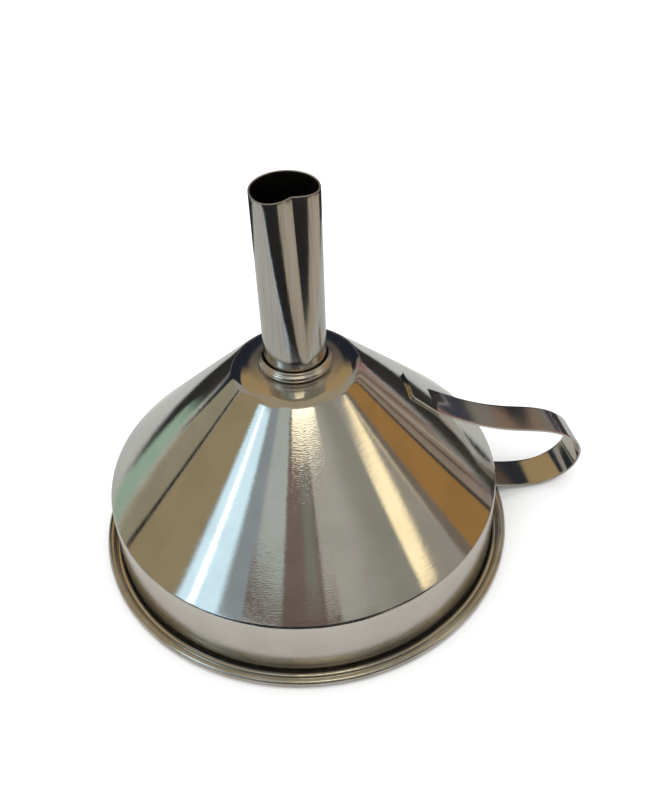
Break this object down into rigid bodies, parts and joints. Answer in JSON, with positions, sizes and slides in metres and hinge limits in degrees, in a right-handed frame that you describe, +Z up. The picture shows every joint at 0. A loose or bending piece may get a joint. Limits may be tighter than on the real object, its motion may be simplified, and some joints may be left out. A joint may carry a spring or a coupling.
{
  "type": "canning funnel",
  "caption": "Stainless steel canning funnel: pressed cone bowl with skirt and rolled rim, spout tube with a vent groove, neck collar and welded strip handle.",
  "frame": {"origin": "on the spout's axis, at the level of the rim's underside, where the part stands", "axes": "+Z up along the spout's axis to its tip, +X from the axis towards the handle"},
  "size_m": [0.1577, 0.13, 0.1232],
  "materials": {
    "bowl_steel": "polished stainless sheet, satin on the skirt",
    "spout_steel": "stainless tube, finely brushed lengthwise",
    "collar_steel": "polished rolled stainless ring",
    "handle_steel": "polished stainless strip with rounded edges"
  },
  "bodies": {
    "root": {"bowl": "bowl_steel", "spout_tube": "spout_steel", "neck_collar": "collar_steel", "handle_strip": "handle_steel"}
  },
  "joints": []
}
